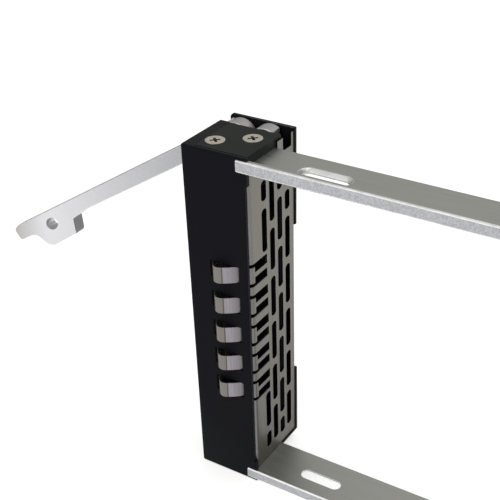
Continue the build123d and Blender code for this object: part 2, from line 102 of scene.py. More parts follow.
class CarrierEdges(bpy.types.PropertyGroup):
    """Widths of the rounded edges, and how long an edge of the housing has to be."""
    long_edge: bpy.props.FloatProperty(
        name="Long edge", description="The housing's edges at least this long are rounded", default=0.012,
        unit="LENGTH")
    moulded: bpy.props.FloatProperty(
        name="Moulded edge", description="Rounding of the housing's long edges", default=0.00028,
        unit="LENGTH")
    moulded_fine: bpy.props.FloatProperty(
        name="Fine moulded edge", description="Rounding of the covers' and the lock's edges", default=0.00008,
        unit="LENGTH")
    rail: bpy.props.FloatProperty(
        name="Rail edge", description="Rounding of the rails' edges", default=0.00012, unit="LENGTH")
    sheet: bpy.props.FloatProperty(
        name="Sheet edge", description="Rounding of the punched sheet's edges", default=0.00006,
        unit="LENGTH")
    screw: bpy.props.FloatProperty(
        name="Screw edge", description="Rounding of the screws' edges", default=0.00005, unit="LENGTH")
    lever: bpy.props.FloatProperty(
        name="Lever edge", description="Rounding of the cast lever's edges", default=0.0003, unit="LENGTH")


class CarrierShapes(bpy.types.PropertyGroup):
    """Forms worked further here than in the solids: punched slots, spring fingers and lever."""
    widest_slot: bpy.props.FloatProperty(
        name="Widest slot", description="Punched openings narrower than this are eased open", default=0.0025,
        unit="LENGTH")
    slot_ease: bpy.props.FloatProperty(
        name="Slot ease", description="How many times as wide the punched slots become", default=1.2)
    bow_root: bpy.props.FloatProperty(
        name="Bow root", description="Where the fingers leave the wall, in front of the shield",
        default=0.0033, unit="LENGTH")
    bow_foot: bpy.props.FloatProperty(
        name="Bow foot", description="Where they are back inside the wall, in front of the shield",
        default=0.0133, unit="LENGTH")
    bow_rise: bpy.props.FloatProperty(
        name="Bow rise", description="How far the middle of a finger is bent outwards", default=0.0011,
        unit="LENGTH")
    claw_setback: bpy.props.FloatProperty(
        name="Claw setback", description="The claw's flat end, in front of the shield", default=0.0039,
        unit="LENGTH")
    claw_end: bpy.props.FloatProperty(
        name="Claw end", description="Rounding over the claw's flat end", default=0.0008, unit="LENGTH")
    arm_angle: bpy.props.FloatProperty(
        name="Arm angle", description="How far the opened arm hangs below level", default=radians(32.2),
        subtype="ANGLE")
    hole_reach: bpy.props.FloatProperty(
        name="Hole reach", description="From the pivot out to the lever's lock hole", default=0.0894,
        unit="LENGTH")
    hole_offset: bpy.props.FloatProperty(
        name="Hole offset", description="The hole's middle above the line through the pivot", default=0.0006,
        unit="LENGTH")
    hole_rim: bpy.props.FloatProperty(
        name="Hole rim", description="What lies closer to the solid hole's middle is its rim",
        default=0.002235, unit="LENGTH")
    hole_length: bpy.props.FloatProperty(
        name="Hole length", description="How many times as long the hole becomes, along the arm", default=2.0)
    hole_width: bpy.props.FloatProperty(
        name="Hole width", description="How many times as wide the hole becomes, across the arm", default=1.3)
    hole_clear: bpy.props.FloatProperty(
        name="Opened rim", description="What lies closer to the opened hole's middle belongs to it",
        default=0.0036, unit="LENGTH")
    tail_top: bpy.props.FloatProperty(
        name="Tail top", description="How far above the hole's middle the finger tail reaches",
        default=0.0015, unit="LENGTH")
    tail_short: bpy.props.FloatProperty(
        name="Tail facet", description="Steps shorter than this belong to one corner of the tail",
        default=0.0004, unit="LENGTH")
    tail_corner: bpy.props.FloatProperty(
        name="Tail corner", description="Rounding of the tail's corners", default=0.0010, unit="LENGTH")


class CarrierTones(bpy.types.PropertyGroup):
    """Where the finishes change tone, much of it for painted light and shade: in front of the shield, or as
    places along the model's axes.
    """
    crease: bpy.props.FloatProperty(
        name="Crease", description="Crease across the spring fingers, in front of the shield", default=0.0077,
        unit="LENGTH")
    crease_width: bpy.props.FloatProperty(
        name="Crease width", description="Width of that crease", default=0.00035, unit="LENGTH")
    crease_blur: bpy.props.FloatProperty(
        name="Crease blur", description="Change of tone to either side of the crease", default=0.0003,
        unit="LENGTH")
    fingers: bpy.props.FloatVectorProperty(
        name="Fingers", description="Where the fingers' tone is full and where it ends, from the shield",
        size=2, default=(0.0040, 0.0031), unit="LENGTH")
    roots: bpy.props.FloatVectorProperty(
        name="Roots", description="Where the roots' darkening starts and is full, in front of the shield",
        size=2, default=(0.0066, 0.0034), unit="LENGTH")
    shield_low: bpy.props.FloatProperty(
        name="Shield low", description="Height above which the shield is no longer darker", default=0.075,
        unit="LENGTH")
    arm: bpy.props.FloatVectorProperty(
        name="Arm", description="Places along Y where the lever's arm is brightest and darkest", size=2,
        default=(-0.160, -0.095), unit="LENGTH")
    tip: bpy.props.FloatVectorProperty(
        name="Tip", description="Places along Y between which the darker tip of the lever ends", size=2,
        default=(-0.180, -0.166), unit="LENGTH")
    claw: bpy.props.FloatVectorProperty(
        name="Claw", description="Places along Y between which the lever's claw takes its own tone", size=2,
        default=(-0.0925, -0.0915), unit="LENGTH")
    glance: bpy.props.FloatVectorProperty(
        name="Glance", description="Facing values between which moulded black turns to its sheen", size=2,
        default=(0.38, 0.48))


class CarrierColours(bpy.types.PropertyGroup):
    """Base colours of the finishes."""
    housing: bpy.props.FloatVectorProperty(
        name="Housing", description="Moulded black of the housing", subtype="COLOR", size=3,
        default=(0.0098, 0.0100, 0.0136))
    cover: bpy.props.FloatVectorProperty(
        name="Covers", description="Moulded black of the end covers", subtype="COLOR", size=3,
        default=(0.0046, 0.0052, 0.0051))
    # Painted sheen at a glancing view.
    sheen: bpy.props.FloatVectorProperty(
        name="Black sheen", description="What the moulded black turns to at a glancing view", subtype="COLOR",
        size=3, default=(0.025, 0.029, 0.027))
    rail: bpy.props.FloatVectorProperty(
        name="Rails", description="Satin metal of the side rails", subtype="COLOR", size=3,
        default=(0.570, 0.575, 0.540))
    shield: bpy.props.FloatVectorProperty(
        name="Shield", description="Warm grey sheet of the shield", subtype="COLOR", size=3,
        default=(0.208, 0.200, 0.176))
    # Painted reflection: the fingers' lighter lavender behind their crease.
    finger: bpy.props.FloatVectorProperty(
        name="Fingers", description="Brighter tint of the spring fingers", subtype="COLOR", size=3,
        default=(0.385, 0.355, 0.410))
    # Painted shade: the front of each finger's bow.
    bow_front_shade: bpy.props.FloatVectorProperty(
        name="Shaded bow front", description="Duller front side of each finger's bow", subtype="COLOR", size=3,
        default=(0.23, 0.218, 0.20))
    # Painted highlight on the folded flange.
    fold: bpy.props.FloatVectorProperty(
        name="Fold", description="Cooler sheen of the shield's folded flange", subtype="COLOR", size=3,
        default=(0.20, 0.198, 0.225))
    lever: bpy.props.FloatVectorProperty(
        name="Lever", description="Matte silver of the ejector lever", subtype="COLOR", size=3,
        default=(0.70, 0.70, 0.72))
    screw: bpy.props.FloatVectorProperty(
        name="Screws", description="Nickel of the screws", subtype="COLOR", size=3,
        default=(0.86, 0.79, 0.69))
    pin: bpy.props.FloatVectorProperty(
        name="Pins", description="Ground steel of the pins and washer", subtype="COLOR", size=3,
        default=(0.48, 0.48, 0.49))
    spring: bpy.props.FloatVectorProperty(
        name="Spring", description="Drawn wire of the return spring", subtype="COLOR", size=3,
        default=(0.30, 0.30, 0.32))
    brass: bpy.props.FloatVectorProperty(
        name="Inserts", description="Turned brass of the inserts", subtype="COLOR", size=3,
        default=(0.62, 0.42, 0.16))
    lock: bpy.props.FloatVectorProperty(
        name="Lock", description="Moulded black of the lock slider", subtype="COLOR", size=3,
        default=(0.020, 0.020, 0.022))
    floor: bpy.props.FloatVectorProperty(
        name="Floor", description="Pale floor", subtype="COLOR", size=3, default=(0.86, 0.86, 0.86))
    world: bpy.props.FloatVectorProperty(
        name="Room", description="Soft light all round", subtype="COLOR", size=3, default=(0.56, 0.555, 0.54))


class CarrierStage(bpy.types.PropertyGroup):
    """Camera, lamps and floor."""
    camera_place: bpy.props.FloatVectorProperty(
        name="Camera place", description="Where the camera stands", subtype="TRANSLATION", size=3,
        default=(0.19364, 0.05387, 0.20949))
    camera_turn: bpy.props.FloatVectorProperty(
        name="Camera turn", description="The camera's rotation", subtype="EULER", size=3,
        default=(radians(56.966), radians(0.058), radians(120.029)))
    lens: bpy.props.FloatProperty(
        name="Lens", description="Focal length of the camera", default=69.31, unit="CAMERA")
    shift: bpy.props.FloatVectorProperty(
        name="Shift", description="The photograph's frame, as shares of its width", size=2,
        default=(-0.1, 0.1))
    clip: bpy.props.FloatVectorProperty(
        name="Clip", description="Nearest and farthest that the camera sees", size=2, default=(0.01, 20.0),
        unit="LENGTH")
    floor_size: bpy.props.FloatProperty(
        name="Floor size", description="Side of the floor", default=8.0, unit="LENGTH")
    floor_glow: bpy.props.FloatProperty(
        name="Floor white", description="What the floor adds to its own colour where it is looked at",
        default=0.6)
    world_strength: bpy.props.FloatProperty(
        name="Room light", description="Strength of the light all round", default=0.75)
    key_place: bpy.props.FloatVectorProperty(
        name="Key place", description="The key lamp's place, from the carrier's middle", size=3,
        subtype="TRANSLATION", default=(0.50, -0.15, 0.35))
    key_size: bpy.props.FloatProperty(
        name="Key size", description="Side of the key lamp", default=0.5, unit="LENGTH")
    key_power: bpy.props.FloatProperty(
        name="Key lamp", description="Power of the large lamp on the drive side", default=0.8, unit="POWER")
    top_place: bpy.props.FloatVectorProperty(
        name="Top place", description="The top lamp's place, from the carrier's middle", size=3,
        subtype="TRANSLATION", default=(-0.10, 0.15, 0.70))
    top_size: bpy.props.FloatProperty(
        name="Top size", description="Side of the top lamp", default=0.6, unit="LENGTH")
    top_power: bpy.props.FloatProperty(
        name="Top lamp", description="Power of the overhead lamp", default=1.25, unit="POWER")


# Shared effects

def new_group(name, inputs, outputs):
    """Empty shader group with its named sockets."""
    tree = bpy.data.node_groups.new(name, "ShaderNodeTree")
    for label, kind, default in inputs:
        socket = tree.interface.new_socket(label, in_out="INPUT", socket_type=kind)
        socket.default_value = default
    for label, kind in outputs:
        tree.interface.new_socket(label, in_out="OUTPUT", socket_type=kind)
    return tree, tree.nodes.new("NodeGroupInput"), tree.nodes.new("NodeGroupOutput")


def moulded_grain():
    """Fine spark-eroded grain and a slow change of sheen, as on injection moulded plastic."""
    name = "Moulded grain"
    if name in bpy.data.node_groups:
        return bpy.data.node_groups[name]
    tree, entry, out = new_group(
        name, [("Grain Scale", "NodeSocketFloat", 3000.0), ("Cloud Scale", "NodeSocketFloat", 60.0)],
        [("Height", "NodeSocketFloat"), ("Cloud", "NodeSocketFloat")])
    place = tree.nodes.new("ShaderNodeTexCoord")
    grain = tree.nodes.new("ShaderNodeTexNoise")
    grain.inputs["Detail"].default_value = 2.0
    cloud = tree.nodes.new("ShaderNodeTexNoise")
    cloud.inputs["Detail"].default_value = 3.0
    link = tree.links.new
    link(place.outputs["Object"], grain.inputs["Vector"])
    link(place.outputs["Object"], cloud.inputs["Vector"])
    link(entry.outputs["Grain Scale"], grain.inputs["Scale"])
    link(entry.outputs["Cloud Scale"], cloud.inputs["Scale"])
    link(grain.outputs["Fac"], out.inputs["Height"])
    link(cloud.outputs["Fac"], out.inputs["Cloud"])
    return tree


def drawn_lines():
    """Fine lines along one direction, from rolling, drawing or brushing, and soft clouds between them."""
    name = "Drawn lines"
    if name in bpy.data.node_groups:
        return bpy.data.node_groups[name]
    tree, entry, out = new_group(
        name, [("Stretch", "NodeSocketVector", (1.0, 1.0, 1.0)), ("Scale", "NodeSocketFloat", 1000.0)],
        [("Height", "NodeSocketFloat"), ("Lines", "NodeSocketFloat"), ("Cloud", "NodeSocketFloat")])
    place = tree.nodes.new("ShaderNodeTexCoord")
    stretch = tree.nodes.new("ShaderNodeVectorMath")
    stretch.operation = "MULTIPLY"
    lines = tree.nodes.new("ShaderNodeTexNoise")
    lines.inputs["Detail"].default_value = 4.0
    lines.inputs["Roughness"].default_value = 0.65
    cloud = tree.nodes.new("ShaderNodeTexNoise")
    cloud.inputs["Scale"].default_value = 90.0
    cloud.inputs["Detail"].default_value = 3.0
    firm = tree.nodes.new("ShaderNodeMapRange")
    firm.inputs["From Min"].default_value = 0.32
    firm.inputs["From Max"].default_value = 0.68
    link = tree.links.new
    link(place.outputs["Object"], stretch.inputs[0])
    link(entry.outputs["Stretch"], stretch.inputs[1])
    link(stretch.outputs["Vector"], lines.inputs["Vector"])
    link(entry.outputs["Scale"], lines.inputs["Scale"])
    link(place.outputs["Object"], cloud.inputs["Vector"])
    link(lines.outputs["Fac"], firm.inputs["Value"])
    link(lines.outputs["Fac"], out.inputs["Height"])
    link(firm.outputs["Result"], out.inputs["Lines"])
    link(cloud.outputs["Fac"], out.inputs["Cloud"])
    return tree


def edge_highlight_mask():
    """Mask of the rounded edges for their painted highlight, broken up a little by noise."""
    name = "Edge wear"
    if name in bpy.data.node_groups:
        return bpy.data.node_groups[name]
    tree, entry, out = new_group(
        name, [("Break Scale", "NodeSocketFloat", 500.0), ("Least", "NodeSocketFloat", 0.6)],
        [("Mask", "NodeSocketFloat")])
    band = tree.nodes.new("ShaderNodeAttribute")
    band.attribute_name = "edge_band"
    place = tree.nodes.new("ShaderNodeTexCoord")
    noise = tree.nodes.new("ShaderNodeTexNoise")
    noise.inputs["Detail"].default_value = 3.0
    spread = tree.nodes.new("ShaderNodeMapRange")
    spread.inputs["From Min"].default_value = 0.35
    spread.inputs["From Max"].default_value = 0.6
    both = tree.nodes.new("ShaderNodeMath")
    both.operation = "MULTIPLY"
    link = tree.links.new
    link(place.outputs["Object"], noise.inputs["Vector"])
    link(entry.outputs["Break Scale"], noise.inputs["Scale"])
    link(noise.outputs["Fac"], spread.inputs["Value"])
    link(entry.outputs["Least"], spread.inputs["To Min"])
    link(band.outputs["Fac"], both.inputs[0])
    link(spread.outputs["Result"], both.inputs[1])
    link(both.outputs["Value"], out.inputs["Mask"])
    return tree


# Materials

# A colour mix node's sockets by their places, because some of their labels are the same
MIX_MASK, MIX_COLOURS, MIX_RESULT = 0, (6, 7), 2


class Finish:
    """A material under construction: its shader and short ways to add nodes."""

    def __init__(self, name, roughness, metallic):
        self.material = bpy.data.materials.new(name)
        self.material.use_nodes = True
        self.nodes = self.material.node_tree.nodes
        self.link = self.material.node_tree.links.new
        self.shader = next(n for n in self.nodes if n.type == "BSDF_PRINCIPLED")
        self.shader.inputs["Roughness"].default_value = roughness
        self.shader.inputs["Metallic"].default_value = metallic

    def effect(self, tree, **values):
        """A shared effect with its inputs set; an underscore stands for the space in a label."""
        node = self.nodes.new("ShaderNodeGroup")
        node.node_tree = tree
        for label, value in values.items():
            node.inputs[label.replace("_", " ")].default_value = value
        return node

    def blend(self, mask, first, second, low=0.0, high=1.0):
        """Colour between two, by a mask taken between low and high."""
        mix = self.nodes.new("ShaderNodeMix")
        mix.data_type = "RGBA"
        for place, value in zip(MIX_COLOURS, (first, second)):
            if isinstance(value, bpy.types.NodeSocket):
                self.link(value, mix.inputs[place])
            else:
                mix.inputs[place].default_value = (*value, 1.0)
        self.link(self.ranged(mask, low, high), mix.inputs[MIX_MASK])
        return mix.outputs[MIX_RESULT]

    def ranged(self, value, low, high, start=0.0, end=1.0):
        """The value between start and end, taken to between low and high."""
        node = self.nodes.new("ShaderNodeMapRange")
        node.inputs["From Min"].default_value = start
        node.inputs["From Max"].default_value = end
        node.inputs["To Min"].default_value = low
        node.inputs["To Max"].default_value = high
        self.link(value, node.inputs["Value"])
        return node.outputs["Result"]

    def rising(self, value, start, end):
        """Mask that goes from 0 to 1 as the value goes from start to end."""
        return self.ranged(value, 0.0, 1.0, start, end)

    def falling(self, value, start, end):
        """Mask that goes from 1 to 0 as the value goes from start to end."""
        return self.ranged(value, 1.0, 0.0, start, end)

    def marked(self, label):
        """Mask kept on the piece's own faces."""
        node = self.nodes.new("ShaderNodeAttribute")
        node.attribute_name = label
        return node.outputs["Fac"]

    def axes(self):
        """The place on the piece along X, Y and Z."""
        place = self.nodes.new("ShaderNodeTexCoord")
        axes = self.nodes.new("ShaderNodeSeparateXYZ")
        self.link(place.outputs["Object"], axes.inputs["Vector"])
        return axes.outputs

    def band(self, socket, centre, width):
        """Mask that is 1 where the value is close to the centre."""
        node = self.nodes.new("ShaderNodeMath")
        node.operation = "COMPARE"
        node.inputs[1].default_value = centre
        node.inputs[2].default_value = width / 2
        self.link(socket, node.inputs[0])
        return node.outputs["Value"]

    def colour(self, socket):
        """Feeds the shader's base colour."""
        self.link(socket, self.shader.inputs["Base Color"])

    def roughness(self, socket):
        """Feeds the shader's roughness."""
        self.link(socket, self.shader.inputs["Roughness"])

    def bump(self, height, distance, strength):
        """Feeds the shader's normal from a height."""
        node = self.nodes.new("ShaderNodeBump")
        node.inputs["Distance"].default_value = distance
        node.inputs["Strength"].default_value = strength
        self.link(height, node.inputs["Height"])
        self.link(node.outputs["Normal"], self.shader.inputs["Normal"])


def scaled(colour, factor):
    """The colour made lighter or darker, no lighter than white."""
    return tuple(min(1.0, c * factor) for c in colour)


def tinted(colour, *factors):
    """The colour with a factor for each of red, green and blue."""
    return tuple(c * factor for c, factor in zip(colour, factors))


def moulded_black(name, colour, sheen, glance, roughness, gloss, edge):
    """Satin moulded plastic: grain, slow clouds of sheen, a painted sheen at a glancing view and painted
    highlights on the rounded edges.
    """
    finish = Finish(name, roughness, metallic=0.0)
    finish.shader.inputs["Specular IOR Level"].default_value = gloss
    finish.shader.inputs["Coat Roughness"].default_value = 0.3
    facing = finish.nodes.new("ShaderNodeLayerWeight")
    facing.inputs["Blend"].default_value = 0.5
    grain = finish.effect(moulded_grain(), Grain_Scale=2600.0, Cloud_Scale=55.0)
    highlit_edges = finish.effect(edge_highlight_mask(), Break_Scale=420.0, Least=0.55).outputs["Mask"]
    cloud = grain.outputs["Cloud"]
    body = finish.blend(cloud, scaled(colour, 0.85), scaled(colour, 1.2))
    # Painted sheen: lighter towards the sheen colour at a glancing view.
    body = finish.blend(finish.rising(facing.outputs["Facing"], *glance), body, sheen)
    # Painted highlight: the rounded edges are lightened towards the edge colour.
    finish.colour(finish.blend(highlit_edges, body, scaled(colour, edge), high=0.8))
    finish.roughness(finish.ranged(cloud, roughness - 0.05, roughness + 0.06, start=0.3, end=0.7))
    finish.link(finish.ranged(highlit_edges, low=0.0, high=0.6), finish.shader.inputs["Coat Weight"])
    finish.bump(grain.outputs["Height"], distance=0.00003, strength=0.5)
    return finish.material


def rolled_metal(name, colour, roughness, stretch, lines, edge, depth=0.00001, speckle=0.0):
    """Satin metal: fine lines along it, a grainy flank where one is marked, darker and bluish as painted
    shade and painted reflection, slow stains, painted highlights on the edges.
    """
    finish = Finish(name, roughness, metallic=1.0)
    drawn = finish.effect(drawn_lines(), Stretch=stretch, Scale=1100.0)
    highlit_edges = finish.effect(edge_highlight_mask(), Break_Scale=300.0, Least=0.7).outputs["Mask"]
    body = finish.blend(drawn.outputs["Lines"], scaled(colour, 1 - lines), scaled(colour, 1 + lines))
    grain = finish.effect(moulded_grain(), Grain_Scale=1900.0, Cloud_Scale=400.0)
    # The marked flank is a lit copy of the same metal: darker and bluish as painted shade and painted
    # reflection; the flecks are grain.
    flecks = finish.ranged(grain.outputs["Height"], 0.0, speckle, start=0.42, end=0.62)
    flank = finish.blend(flecks, tinted(colour, 0.85, 0.85, 0.96), tinted(colour, 0.42, 0.42, 0.53))
    body = finish.blend(finish.marked("flank"), body, flank)
    body = finish.blend(drawn.outputs["Cloud"], body, scaled(colour, 0.86), high=0.35)
    # Painted highlight on the rounded edges and bevelled corners.
    finish.colour(finish.blend(highlit_edges, body, scaled(colour, edge), high=0.85))
    finish.roughness(finish.ranged(drawn.outputs["Lines"], roughness - 0.05, roughness + 0.07))
    finish.bump(drawn.outputs["Height"], depth, strength=0.6)
    return finish.material


def cast_silver(name, colour, tones, roughness):
    """Matte silver of the lever: fine blasted grain, painted shade towards the pivot, darker at the tip,
    painted shade on the inner faces that look back at the pivot, and painted highlights on its edges.
    """
    finish = Finish(name, roughness, metallic=1.0)
    grain = finish.effect(moulded_grain(), Grain_Scale=3400.0, Cloud_Scale=70.0)
    highlit_edges = finish.effect(edge_highlight_mask(), Break_Scale=350.0, Least=0.6).outputs["Mask"]
    along = finish.axes()["Y"]
    # Painted shade: the arm darkens from its hand end towards the pivot.
    far_from_pivot = finish.falling(along, *tones.arm)
    body = finish.blend(far_from_pivot, tinted(colour, 0.50, 0.51, 0.51), scaled(colour, 1.06))
    body = finish.blend(finish.falling(along, *tones.tip), body, tinted(colour, 0.66, 0.65, 0.62))
    body = finish.blend(finish.rising(along, *tones.claw), body, tinted(colour, 0.84, 0.82, 0.79))
    body = finish.blend(grain.outputs["Cloud"], scaled(colour, 0.88), body, low=0.7)
    # Painted highlight on the rounded edges.
    body = finish.blend(highlit_edges, body, scaled(colour, 1.2), high=0.6)
    # Painted shade on the inner faces that look back at the pivot.
    finish.colour(finish.blend(finish.marked("inner_shade"), body, scaled(colour, 0.32)))
    patchy = finish.ranged(grain.outputs["Height"], roughness - 0.06, roughness + 0.08, start=0.3, end=0.7)
    finish.roughness(patchy)
    finish.bump(grain.outputs["Height"], distance=0.00002, strength=0.5)
    return finish.material


def finger_steel(finish, lines, along, colours, tones, fold_y):
    """Colour of the spring fingers: painted shade and streaks in front of their crease, a lighter lavender
    painted reflection behind it, a painted dark line along the crease and painted shade at their roots.
    """
    crease_y = fold_y - tones.crease
    # Painted shade in front of the crease, and a lighter lavender painted reflection behind it.
    behind = finish.rising(along, crease_y - tones.crease_blur, crease_y + tones.crease_blur)
    fingers = finish.blend(behind, colours.bow_front_shade, colours.finger)
    # Painted shade towards the fingers' roots.
    near_root = finish.rising(along, *(fold_y - setback for setback in tones.roots))
    fingers = finish.blend(near_root, fingers, scaled(colours.finger, 0.45))
    streaked = finish.blend(lines, scaled(colours.bow_front_shade, 0.8), fingers, low=0.35)
    # Painted shade: a dark line along the crease.
    crease = finish.band(along, crease_y, tones.crease_width)
    return finish.blend(crease, streaked, scaled(colours.bow_front_shade, 0.45))


def sheet_steel(name, colours, tones, fold_y):
    """Stainless sheet: rolled lines, painted shade low down, a cooler painted highlight on the fold, painted
    shade on the punched edges, painted light on the fingers and painted highlights on its edges.
    """
    finish = Finish(name, roughness=0.42, metallic=1.0)
    drawn = finish.effect(drawn_lines(), Stretch=(1.0, 1.0, 0.06), Scale=1500.0)
    highlit_edges = finish.effect(edge_highlight_mask(), Break_Scale=300.0, Least=0.7).outputs["Mask"]
    lines, axes = drawn.outputs["Lines"], finish.axes()
    body = finish.blend(lines, scaled(colours.shield, 0.92), scaled(colours.shield, 1.08))
    # Painted shade: darker low down.
    body = finish.blend(finish.falling(axes["Z"], 0.0, tones.shield_low), body, scaled(colours.shield, 0.62))
    # Painted highlight: a cooler tone on the fold and its flange.
    body = finish.blend(finish.marked("fold"), body, colours.fold)
    in_front = finish.falling(axes["Y"], *(fold_y - setback for setback in tones.fingers))
    body = finish.blend(in_front, body, finger_steel(finish, lines, axes["Y"], colours, tones, fold_y))
    body = finish.blend(drawn.outputs["Cloud"], scaled(colours.shield, 0.8), body, low=0.75)
    # Painted highlight on the rounded edges, in the fingers' colour.
    body = finish.blend(highlit_edges, body, scaled(colours.finger, 1.3), high=0.55)
    # Painted shade: the punched edges inside the slots go almost black.
    finish.colour(finish.blend(finish.marked("punched"), body, scaled(colours.shield, 0.02)))
    finish.roughness(finish.ranged(lines, low=0.36, high=0.5))
    finish.bump(drawn.outputs["Height"], distance=0.00001, strength=0.5)
    return finish.material


def turned_metal(name, colour, roughness):
    """Plated or turned metal: faint lines and a slow change of tone."""
    return rolled_metal(name, colour, roughness, stretch=(1.0, 1.0, 0.2), lines=0.1, edge=1.35,
                        depth=0.000006)


def recessed_metal(name, colour, roughness, shade):
    """Plated screw with painted shade in its cross recess, on the faces marked in recess, and painted
    highlights on its edges.
    """
    finish = Finish(name, roughness, metallic=1.0)
    drawn = finish.effect(drawn_lines(), Stretch=(1.0, 1.0, 0.2), Scale=1100.0)
    highlit_edges = finish.effect(edge_highlight_mask(), Break_Scale=900.0, Least=0.4).outputs["Mask"]
    body = finish.blend(drawn.outputs["Lines"], scaled(colour, 0.9), scaled(colour, 1.1))
    # Painted highlight on the rounded edges.
    body = finish.blend(highlit_edges, body, scaled(colour, 1.3), high=0.9)
    # Painted shade: the cross recess goes dark.
    finish.colour(finish.blend(finish.marked("recess"), body, scaled(colour, shade)))
    finish.roughness(finish.ranged(drawn.outputs["Lines"], roughness - 0.05, roughness + 0.07))
    finish.bump(drawn.outputs["Height"], distance=0.00001, strength=0.6)
    return finish.material


# Pieces

def merged_copy(node):
    """The node's mesh as whole faces, without the cuts between its triangles."""
    bm = bmesh.new()
    bm.from_mesh(frame["nodes"][node].data)
    bmesh.ops.remove_doubles(bm, verts=bm.verts, dist=SAME_PLACE)
    bmesh.ops.dissolve_limit(bm, angle_limit=FLAT_ANGLE, verts=bm.verts, edges=bm.edges,
                             use_dissolve_boundaries=False, delimit=set())
    return bm


def bevelled(bm, edges, width, segments, clamp):
    """Rounds the edges given and hands back the new faces."""
    made = bmesh.ops.bevel(bm, geom=edges, affect="EDGES", offset=width, offset_type="OFFSET",
                           segments=segments, profile=0.5, material=-1, clamp_overlap=clamp)
    return made["faces"]


def round_edges(bm, width, longer_than=0.0, segments=2):
    """Rounds the sharp edges at least this long and marks the new faces in edge_band."""
    band = bm.faces.layers.float.get("edge_band") or bm.faces.layers.float.new("edge_band")
    sharp = [e for e in bm.edges if len(e.link_faces) == 2 and e.calc_face_angle() > SHARP_ANGLE
             and e.calc_length() >= longer_than]
    for face in bevelled(bm, sharp, width, segments, clamp=False):
        face[band] = 1.0


def no_rear_edge_highlight(bm):
    """The housing's rounded edges get no painted highlight where they face rearwards, towards the shield."""
    band = bm.faces.layers.float["edge_band"]
    for face in bm.faces:
        if face.normal.y > REARWARD:
            face[band] = 0.0


def mark_rail(bm):
    """Marks a rail's long bevelled corners for the same painted highlight as its rounded edges, and its
    grainy outer flank for its painted shade and bluish painted reflection.
    """
    band = bm.faces.layers.float.new("edge_band")
    flank = bm.faces.layers.float.new("flank")
    for face in bm.faces:
        # The flank gets painted shade with a bluish painted reflection.
        if face.normal.x > SQUARE_ON:
            face[flank] = 1.0
        # Painted highlight on the bevelled corners.
        if face.normal.x > SLANTED and abs(face.normal.z) > SLANTED:
            face[band] = 1.0


def mark_recess(bm, node):
    """Marks the faces of a screw's cross recess: inside the head, below its flat top."""
    mark = bm.faces.layers.float.new("recess")
    low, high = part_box(node)
    middle = (low + high) / 2
    head_z = high.z if node.startswith("top") else low.z
    for face in bm.faces:
        centre = face.calc_center_median()
        sunk = abs(centre.z - head_z)
        if RECESS_TOP < sunk < RECESS_FLOOR and (centre - middle).xy.length < RECESS_REACH:
            face[mark] = 1.0


def bow_fingers(bm, root_y, foot_y, rise, pieces=10):
    """Bends each spring finger outwards between its root and its foot, into a rounder bow."""
    for piece in range(1, pieces):
        fingers = [f for f in bm.faces if all(v.co.y < root_y for v in f.verts)]
        edges = {e for f in fingers for e in f.edges}
        verts = {v for f in fingers for v in f.verts}
        cut_y = root_y + (foot_y - root_y) * piece / pieces
        bmesh.ops.bisect_plane(bm, geom=[*fingers, *edges, *verts], plane_co=(0.0, cut_y, 0.0),
                               plane_no=(0.0, 1.0, 0.0))
    for vert in bm.verts:
        share = (vert.co.y - root_y) / (foot_y - root_y)
        if 0.0 < share < 1.0:
            vert.co.x += rise * sin(pi * share)
    bm.normal_update()


def mark_sheet(bm, fold_y):
    """Marks the punched edges within the plate, and the fold with its flange."""
    punched = bm.faces.layers.float.new("punched")
    fold = bm.faces.layers.float.new("fold")
    for face in bm.faces:
        centre, normal = face.calc_center_median(), face.normal
        if centre.y < fold_y - FLANGE_DEPTH:
            continue
        if normal.x > OUTWARD:
            face[fold] = 1.0
        if centre.y > fold_y - PLATE_DEPTH and abs(normal.y) < EDGE_ON and centre.x < PLATE_SIDE:
            face[punched] = 1.0


def joined(items, near):
    """Yields each group of faces or vertices that hang together through their neighbours."""
    left = dict.fromkeys(items)
    while left:
        group = [left.popitem()[0]]
        for item in group:
            for neighbour in near(item):
                if neighbour in left:
                    del left[neighbour]
                    group.append(neighbour)
        yield group


def open_slots(bm, widest, ease):
    """Eases the shield's punched slots open; the wider comb openings stay."""
    def faces_beside(face):
        return (beside for edge in face.edges for beside in edge.link_faces)

    punched = bm.faces.layers.float["punched"]
    for ring in joined([face for face in bm.faces if face[punched]], faces_beside):
        verts = {vert for face in ring for vert in face.verts}
        left, right = min(v.co.x for v in verts), max(v.co.x for v in verts)
        if right - left < widest:
            middle = (left + right) / 2
            for vert in verts:
                vert.co.x = middle + (vert.co.x - middle) * ease


def trim_claw(bm, end_y, roundness):
    """Ends the lever's claw in a flat with a softened rim, as cast."""
    cut = bmesh.ops.bisect_plane(bm, geom=[*bm.verts, *bm.edges, *bm.faces], plane_co=(0.0, end_y, 0.0),
                                 plane_no=(0.0, 1.0, 0.0), clear_outer=True)
    rim = [e for e in cut["geom_cut"] if isinstance(e, bmesh.types.BMEdge)]
    bmesh.ops.contextual_create(bm, geom=rim)
    pin_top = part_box("lever_pivot_pin")[1].z
    top = [e for e in rim if e.is_valid and abs(e.verts[0].co.z - e.verts[1].co.z) < LEVEL
           and e.verts[0].co.z > pin_top]
    bevelled(bm, top, roundness, segments=4, clamp=True)
    bmesh.ops.remove_doubles(bm, verts=bm.verts, dist=SAME_PLACE)


def lock_hole(shapes, along):
    """Middle of the lever's lock hole, seen from its side."""
    low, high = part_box("lever_pivot_pin")
    above = along.cross(SIDEWAYS)
    hole = (low + high) / 2 + along * shapes.hole_reach + above * shapes.hole_offset
    hole.x = 0.0
    return hole


